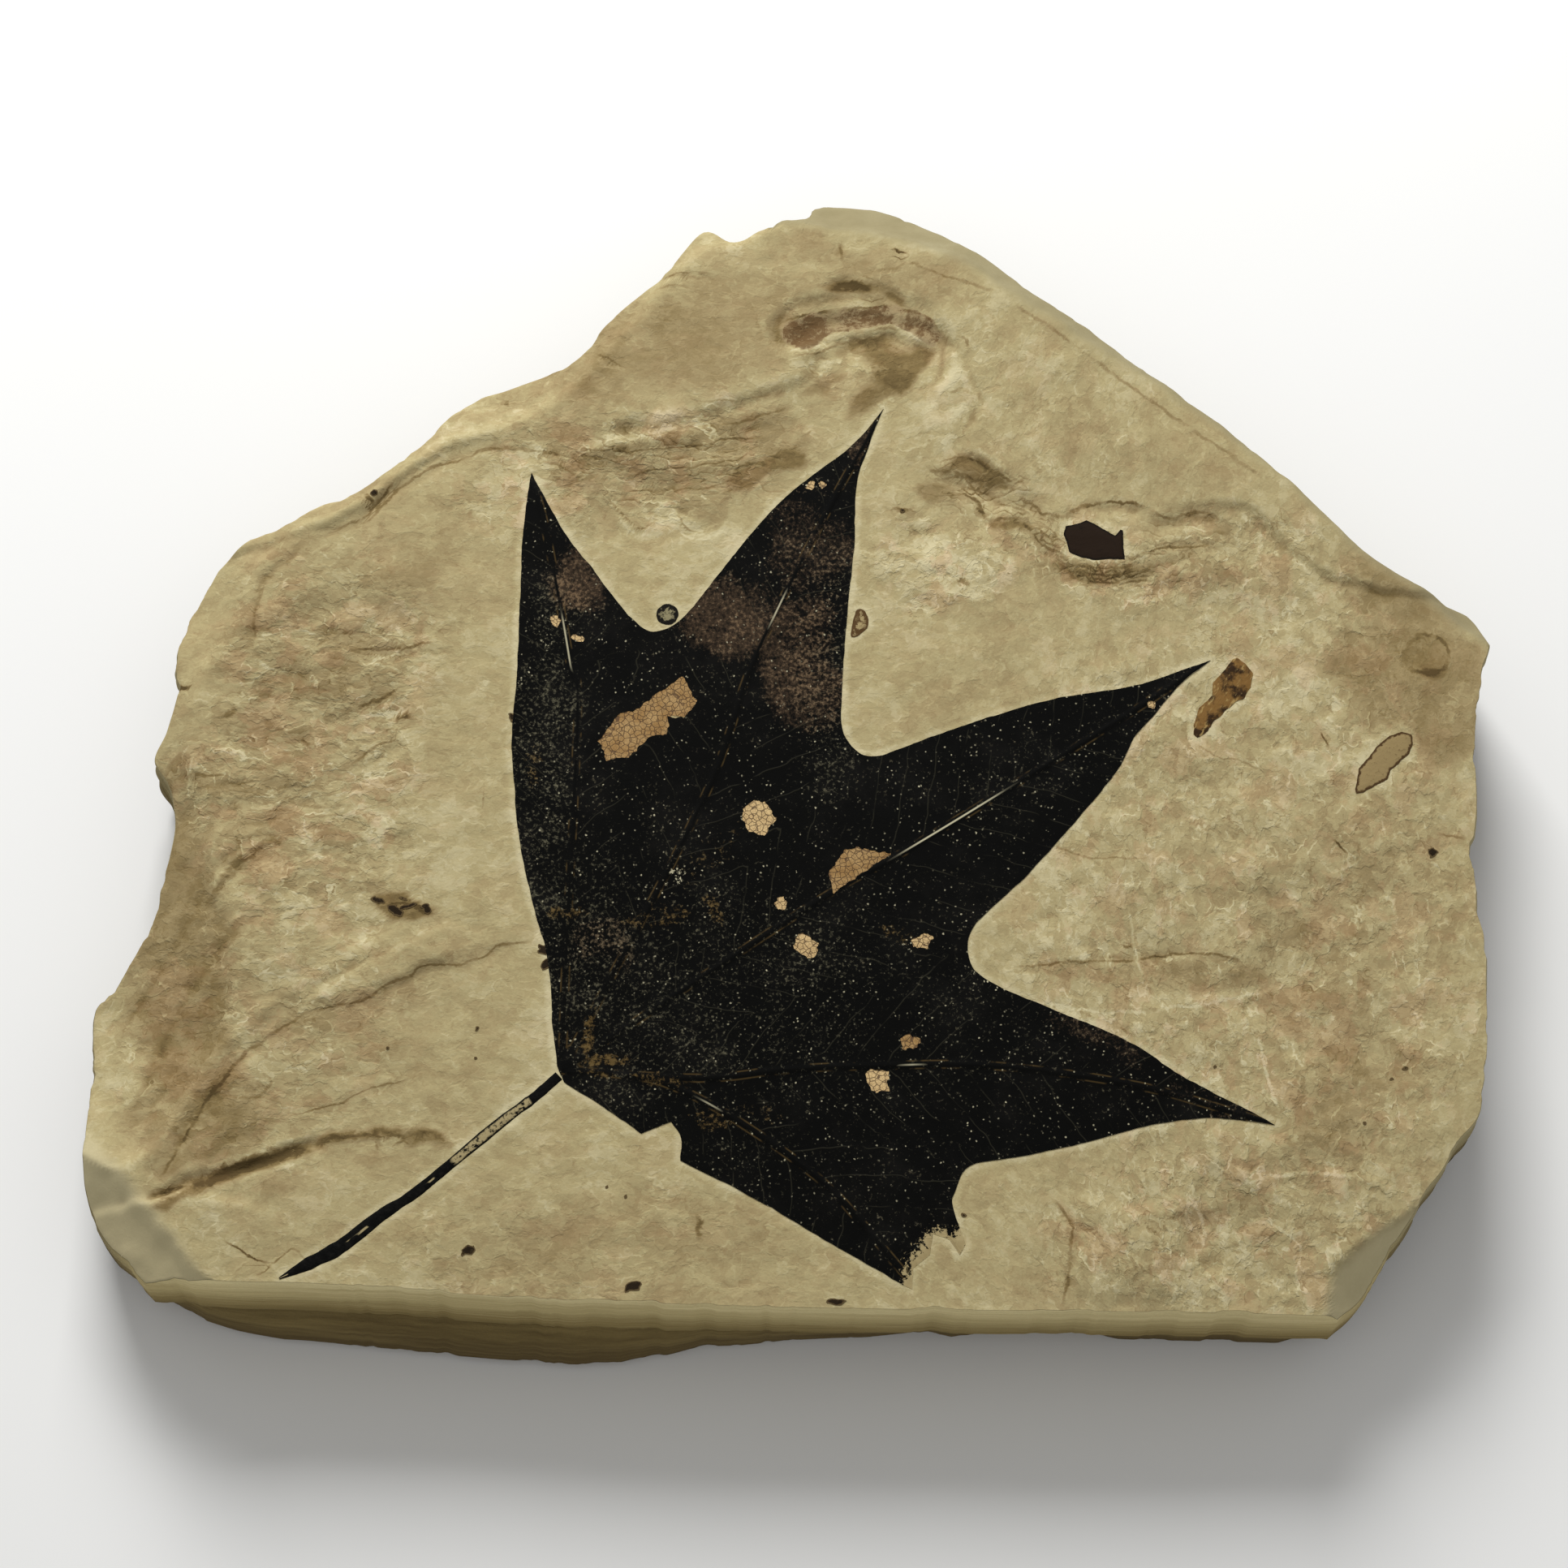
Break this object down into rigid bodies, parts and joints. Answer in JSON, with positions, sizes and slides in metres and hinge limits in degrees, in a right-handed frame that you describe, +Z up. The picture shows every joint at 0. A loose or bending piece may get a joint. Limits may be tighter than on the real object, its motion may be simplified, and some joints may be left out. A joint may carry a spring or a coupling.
{
  "type": "fossil leaf plate",
  "caption": "Flat broken slab of layered pale stone, lying face up, with a large lobed fossil leaf and its stem and small plant fossils as thin dark films on top.",
  "frame": {"origin": "middle of the bounding box's bottom face, on the underside that the slab lies on", "axes": "+Z up, out of the face that carries the leaf; +X along the slab's long front edge, to the right; +Y away from the viewer, towards the slab's peak"},
  "size_m": [0.3436, 0.3007, 0.0381],
  "materials": {
    "stone": "matte",
    "leaf_carbon": "satin",
    "stem_carbon": "satin",
    "scrap_carbon": "matte",
    "brown_husk": "matte",
    "tan_seed": "matte",
    "dark_seed": "matte"
  },
  "bodies": {
    "root": {"slab": "stone", "leaf_blade": "leaf_carbon", "leaf_stem": "stem_carbon", "leaf_scrap": "scrap_carbon", "seed_husk": "brown_husk", "husk_flake": "brown_husk", "winged_seed": "tan_seed", "round_seed": "dark_seed"}
  },
  "joints": []
}
